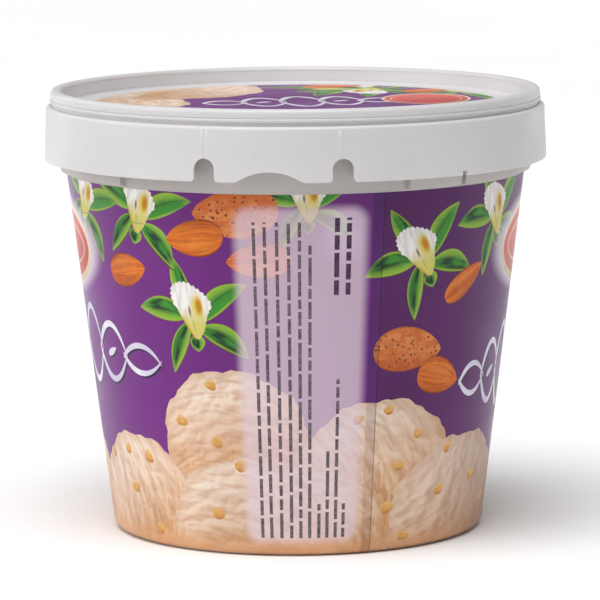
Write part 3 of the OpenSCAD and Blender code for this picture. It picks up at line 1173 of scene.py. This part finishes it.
def print_film(shapes, loose, place, label_map, inks, node):
    """One piece for each ink of a film."""
    spots, owned = divide(shapes, loose)
    for name in sorted(owned):
        look = inks[name.removeprefix("lid_")]
        stand_in(sheet(name, spots, owned[name], place, label_map, look), node)


def prints():
    inks = ink_materials()
    print_film(wall_shapes(), wall_grid(), on_wall, wall_map, inks, "wall_label")
    print_film(disc_shapes(), [], on_disc, off_label, inks, "lid_label")
    film = plain_ink(*FILM_INK)
    stand_in(wall_film(film), "wall_label")
    stand_in(disc_film(film), "lid_label")


def plastics():
    tub = plastic_material("tub_plastic_look", rgb(194, 188, 185), rgb(187, 180, 177), 0.40)
    lid = plastic_material("lid_plastic_look", rgb(214, 212, 213), rgb(208, 205, 206), 0.36)
    for node, look in (("tub", tub), ("lid", lid)):
        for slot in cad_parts[node].material_slots:
            slot.material = look


# -------- stage, light and camera

FLOOR_HALF = 6.0              # in metres, as the lights' distances and sizes are
WASHES = (                    # name, azimuth, elevation, strength, spread, colour
    ("top", -16, 72, 2.36, 40, (1.0, 1.0, 1.0)),
    ("key", -68, 26, 0.9, 50, (1.0, 0.99, 0.98)),
    ("fill", 75, 22, 0.05, 60, (1.0, 1.0, 1.0)),
)
WASH_DISTANCE = 2.0
SOFTBOXES = (                 # name, azimuth, elevation, distance, size, power
    ("strip_left", -138, 14, 1.0, (0.5, 0.8), 0.8), ("strip_right", 142, 12, 1.0, (0.35, 0.7), 0.4),
)
WORLD_STRENGTH = 0.28
CAMERA_BACK = 1.1413          # from the tub's axis, and its height, in metres
CAMERA_UP = 0.2189
CAMERA_YAW = 0.0008           # in radians
CAMERA_PITCH = 0.1384
CAMERA_ROLL = -0.0069
CAMERA_LENS = 259.2           # millimetres, on a sensor this wide
CAMERA_SENSOR = 36.0
CAMERA_NEAR = 0.01


def floor_material():
    material, g, shader = new_material("floor_pale")
    cloud = g.noise(g.place(), 3.0, 2.0)
    pale = g.fade(cloud, 0.3, 0.7, rgb(243, 243, 244), rgb(246, 246, 246))
    g.put(shader.inputs["Base Color"], pale)
    preset(shader, {"Roughness": 0.9, "Specular IOR Level": 0.1})
    return material


def floor():
    half = FLOOR_HALF
    mesh = bpy.data.meshes.new("floor")
    mesh.from_pydata([(-half, -half, 0), (half, -half, 0), (half, half, 0), (-half, half, 0)], [],
                     [(0, 1, 2, 3)])
    linked("floor", mesh, floor_material())


def aim(light, azimuth, elevation, distance):
    """Puts a light round the tub, facing its middle."""
    level = math.radians(elevation)
    angle = math.radians(azimuth)
    flat = math.cos(level)
    away = Vector((math.sin(angle) * flat, -math.cos(angle) * flat, math.sin(level)))
    light.location = away * distance + Vector((0.0, 0.0, cad_box[1].z / 2))
    light.rotation_euler = (-away).to_track_quat("-Z", "Y").to_euler()
    bpy.context.scene.collection.objects.link(light)


def wash(name, azimuth, elevation, strength, spread, colour):
    """Even soft light from one side, the same all over the floor."""
    data = bpy.data.lights.new(name, "SUN")
    data.energy = strength
    data.angle = math.radians(spread)
    data.color = colour
    aim(bpy.data.objects.new(name, data), azimuth, elevation, WASH_DISTANCE)


def softbox(name, azimuth, elevation, distance, size, power):
    """A rectangular light that shows as a soft reflection."""
    data = bpy.data.lights.new(name, "AREA")
    data.shape = "RECTANGLE"
    data.size, data.size_y = size
    data.energy = power
    aim(bpy.data.objects.new(name, data), azimuth, elevation, distance)


def lights():
    for row in WASHES:
        wash(*row)
    for row in SOFTBOXES:
        softbox(*row)
    world = bpy.data.worlds.new("studio")
    world.use_nodes = True
    preset(world.node_tree.nodes["Background"],
           {"Color": (1.0, 1.0, 1.0, 1.0), "Strength": WORLD_STRENGTH})
    bpy.context.scene.world = world
    bpy.context.scene.view_settings.view_transform = "Standard"


def camera():
    data = bpy.data.cameras.new("camera")
    data.lens = CAMERA_LENS
    data.sensor_width = CAMERA_SENSOR
    data.clip_start = CAMERA_NEAR
    view = bpy.data.objects.new("camera", data)
    turn = Matrix.Rotation(-CAMERA_YAW, 4, "Z") @ Matrix.Rotation(math.pi / 2 - CAMERA_PITCH, 4, "X")
    turn = turn @ Matrix.Rotation(CAMERA_ROLL, 4, "Z")
    view.matrix_world = Matrix.Translation((0.0, -CAMERA_BACK, CAMERA_UP)) @ turn
    bpy.context.scene.collection.objects.link(view)
    bpy.context.scene.camera = view


camera()
lights()
floor()
plastics()
prints()
